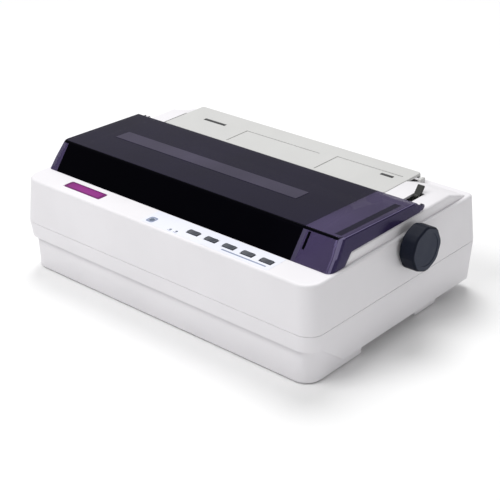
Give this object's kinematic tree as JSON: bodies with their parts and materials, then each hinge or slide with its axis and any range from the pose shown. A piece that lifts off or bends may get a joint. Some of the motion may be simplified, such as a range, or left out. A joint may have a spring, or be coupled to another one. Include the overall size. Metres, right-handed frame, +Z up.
{
  "type": "dot matrix printer",
  "caption": "Desktop dot matrix printer with a white drafted case, hinged smoked cover, side paper knob, push buttons, rear sheet guide and a complete print mechanism inside.",
  "frame": {"origin": "middle of the underside of the whole part's box, on the desk", "axes": "+X to the printer's right (the knob side), +Y to its rear, +Z up; the buttons and cover front face -Y"},
  "size_m": [0.4254, 0.2644, 0.1325],
  "materials": {
    "white_plastic": "fine grain",
    "smoked_plastic": "smooth",
    "black_plastic": "fine grain",
    "knob_plastic": "fine grain",
    "grey_plastic": "fine grain",
    "button_plastic": "satin",
    "olive_plastic": "satin",
    "ivory_plastic": "satin",
    "light_lens": "clear",
    "nameplate_film": "smooth",
    "rubber": "matte",
    "zinc_steel": "zinc plated",
    "bright_steel": "ground",
    "aluminium": "cast",
    "motor_steel": "satin",
    "circuit_board": "solder mask",
    "ribbon_fabric": "inked"
  },
  "bodies": {
    "case": {"lower_case": "white_plastic", "upper_case": "white_plastic", "lever_rod": "bright_steel", "side_frame_left": "zinc_steel", "side_frame_right": "zinc_steel", "base_plate": "zinc_steel", "platen_bushes": "ivory_plastic", "feed_motor": "motor_steel", "gear_studs": "bright_steel", "tractor_rod": "bright_steel", "paper_pan": "zinc_steel", "carriage_rod": "bright_steel", "carriage_rail": "zinc_steel", "timing_belt": "rubber", "carriage_motor": "motor_steel", "tension_bracket": "zinc_steel", "ribbon_cartridge": "black_plastic", "ribbon": "ribbon_fabric", "main_board": "circuit_board", "transformer": "motor_steel", "power_inlet": "black_plastic", "power_switch_housing": "black_plastic", "printer_port": "zinc_steel", "control_board": "circuit_board", "indicator_lights": "light_lens", "nameplate": "nameplate_film", "rubber_feet": "rubber", "case_screws": "bright_steel"},
    "cover": {"smoked_cover": "smoked_plastic"},
    "guide": {"sheet_guide": "white_plastic"},
    "lever": {"release_lever": "olive_plastic"},
    "platen": {"platen_roller": "rubber", "platen_shaft": "bright_steel", "platen_gear": "ivory_plastic", "platen_knob": "knob_plastic"},
    "reduction": {"reduction_gear": "ivory_plastic"},
    "pinion": {"feed_motor_pinion": "bright_steel"},
    "idler": {"idler_gear": "ivory_plastic"},
    "tractor_drive": {"tractor_drive_shaft": "bright_steel", "tractor_gear": "ivory_plastic"},
    "tractor_l": {"tractor_left": "black_plastic"},
    "tractor_r": {"tractor_right": "black_plastic"},
    "wheel_l": {"pin_wheel_left": "ivory_plastic"},
    "wheel_r": {"pin_wheel_right": "ivory_plastic"},
    "door_l": {"tractor_door_left": "grey_plastic"},
    "door_r": {"tractor_door_right": "grey_plastic"},
    "carriage": {"carriage": "black_plastic", "print_head": "aluminium"},
    "drive_pulley": {"drive_pulley": "bright_steel"},
    "tension_pulley": {"tension_pulley": "ivory_plastic"},
    "ribbon_knob": {"ribbon_knob": "grey_plastic"},
    "bail": {"bail_arms": "grey_plastic", "bail_rod": "bright_steel"},
    "bail_rollers": {"bail_rollers": "rubber"},
    "rocker": {"power_switch_rocker": "grey_plastic"},
    "button_1": {"button_1": "button_plastic"},
    "button_2": {"button_2": "button_plastic"},
    "button_3": {"button_3": "button_plastic"},
    "button_4": {"button_4": "button_plastic"},
    "button_5": {"button_5": "button_plastic"}
  },
  "joints": [
    {"name": "cover_hinge", "type": "hinge", "parent": "case", "child": "cover", "pos_m": [-0.00832, 0.0487, 0.1197], "axis": [-1, 0, 0], "range_deg": [0, 100]},
    {"name": "guide_hinge", "type": "hinge", "parent": "case", "child": "guide", "pos_m": [-0.00832, 0.0616, 0.1124], "axis": [1, 0, 0], "range_deg": [0, 60]},
    {"name": "release_lever_hinge", "type": "hinge", "parent": "case", "child": "lever", "pos_m": [0.16168, 0.0732, 0.072], "axis": [1, 0, 0], "range_deg": [0, 14]},
    {"name": "platen_spin", "type": "hinge", "parent": "case", "child": "platen", "pos_m": [-0.00832, 0.0212, 0.092], "axis": [1, 0, 0], "continuous": true},
    {"name": "reduction_spin", "type": "hinge", "parent": "case", "child": "reduction", "pos_m": [-0.18732, 0.03146, 0.06381], "axis": [1, 0, 0], "continuous": true},
    {"name": "pinion_spin", "type": "hinge", "parent": "case", "child": "pinion", "pos_m": [-0.18732, 0.04446, 0.04129], "axis": [1, 0, 0], "continuous": true},
    {"name": "idler_spin", "type": "hinge", "parent": "case", "child": "idler", "pos_m": [-0.18732, 0.0532, 0.092], "axis": [1, 0, 0], "continuous": true},
    {"name": "tractor_drive_spin", "type": "hinge", "parent": "case", "child": "tractor_drive", "pos_m": [-0.00832, 0.0782, 0.092], "axis": [1, 0, 0], "continuous": true},
    {"name": "tractor_left_slide", "type": "slide", "parent": "case", "child": "tractor_l", "axis": [1, 0, 0], "range_m": [-0.015, 0.03]},
    {"name": "tractor_right_slide", "type": "slide", "parent": "case", "child": "tractor_r", "axis": [-1, 0, 0], "range_m": [-0.01, 0.09]},
    {"name": "pin_wheel_left_spin", "type": "hinge", "parent": "tractor_l", "child": "wheel_l", "pos_m": [-0.14232, 0.0782, 0.092], "axis": [1, 0, 0], "continuous": true},
    {"name": "pin_wheel_right_spin", "type": "hinge", "parent": "tractor_r", "child": "wheel_r", "pos_m": [0.09968, 0.0782, 0.092], "axis": [1, 0, 0], "continuous": true},
    {"name": "tractor_door_left_hinge", "type": "hinge", "parent": "tractor_l", "child": "door_l", "pos_m": [-0.14942, 0.0782, 0.106], "axis": [0, -1, 0], "range_deg": [0, 18]},
    {"name": "tractor_door_right_hinge", "type": "hinge", "parent": "tractor_r", "child": "door_r", "pos_m": [0.10678, 0.0782, 0.106], "axis": [0, 1, 0], "range_deg": [0, 18]},
    {"name": "carriage_slide", "type": "slide", "parent": "case", "child": "carriage", "axis": [1, 0, 0], "range_m": [0, 0.23]},
    {"name": "drive_pulley_spin", "type": "hinge", "parent": "case", "child": "drive_pulley", "pos_m": [-0.15232, -0.0298, 0.05], "axis": [0, 0, -1], "range_deg": [0, 1652]},
    {"name": "tension_pulley_spin", "type": "hinge", "parent": "case", "child": "tension_pulley", "pos_m": [0.11368, -0.0298, 0.05], "axis": [0, 0, -1], "range_deg": [0, 1652]},
    {"name": "ribbon_knob_spin", "type": "hinge", "parent": "case", "child": "ribbon_knob", "pos_m": [0.08918, -0.0518, 0.1], "axis": [0, 0, -1], "continuous": true},
    {"name": "bail_hinge", "type": "hinge", "parent": "case", "child": "bail", "pos_m": [-0.00832, -0.0118, 0.098], "axis": [1, 0, 0], "range_deg": [0, 25]},
    {"name": "bail_rollers_spin", "type": "hinge", "parent": "bail", "child": "bail_rollers", "pos_m": [-0.00832, 0.00955, 0.11218], "axis": [1, 0, 0], "continuous": true},
    {"name": "power_switch_rock", "type": "hinge", "parent": "case", "child": "rocker", "pos_m": [-0.20372, -0.0558, 0.076], "axis": [0, 0, 1], "range_deg": [0, 12]},
    {"name": "button_1_press", "type": "slide", "parent": "case", "child": "button_1", "axis": [0, 0, 1], "range_m": [-0.0008, 0], "stiffness_N_per_m": 300, "springref_m": 0.0008},
    {"name": "button_2_press", "type": "slide", "parent": "case", "child": "button_2", "axis": [0, 0, 1], "range_m": [-0.0008, 0], "stiffness_N_per_m": 300, "springref_m": 0.0008},
    {"name": "button_3_press", "type": "slide", "parent": "case", "child": "button_3", "axis": [0, 0, 1], "range_m": [-0.0008, 0], "stiffness_N_per_m": 300, "springref_m": 0.0008},
    {"name": "button_4_press", "type": "slide", "parent": "case", "child": "button_4", "axis": [0, 0, 1], "range_m": [-0.0008, 0], "stiffness_N_per_m": 300, "springref_m": 0.0008},
    {"name": "button_5_press", "type": "slide", "parent": "case", "child": "button_5", "axis": [0, 0, 1], "range_m": [-0.0008, 0], "stiffness_N_per_m": 300, "springref_m": 0.0008}
  ],
  "couplings": [
    {"joint": "reduction_spin", "follows": "platen_spin", "ratio": -4},
    {"joint": "pinion_spin", "follows": "platen_spin", "ratio": 13.333},
    {"joint": "idler_spin", "follows": "platen_spin", "ratio": -3},
    {"joint": "tractor_drive_spin", "follows": "platen_spin", "ratio": 1.4118},
    {"joint": "pin_wheel_left_spin", "follows": "platen_spin", "ratio": 1.4118},
    {"joint": "pin_wheel_right_spin", "follows": "platen_spin", "ratio": 1.4118},
    {"joint": "drive_pulley_spin", "follows": "carriage_slide", "rad_per_m": 125},
    {"joint": "tension_pulley_spin", "follows": "carriage_slide", "rad_per_m": 125}
  ]
}
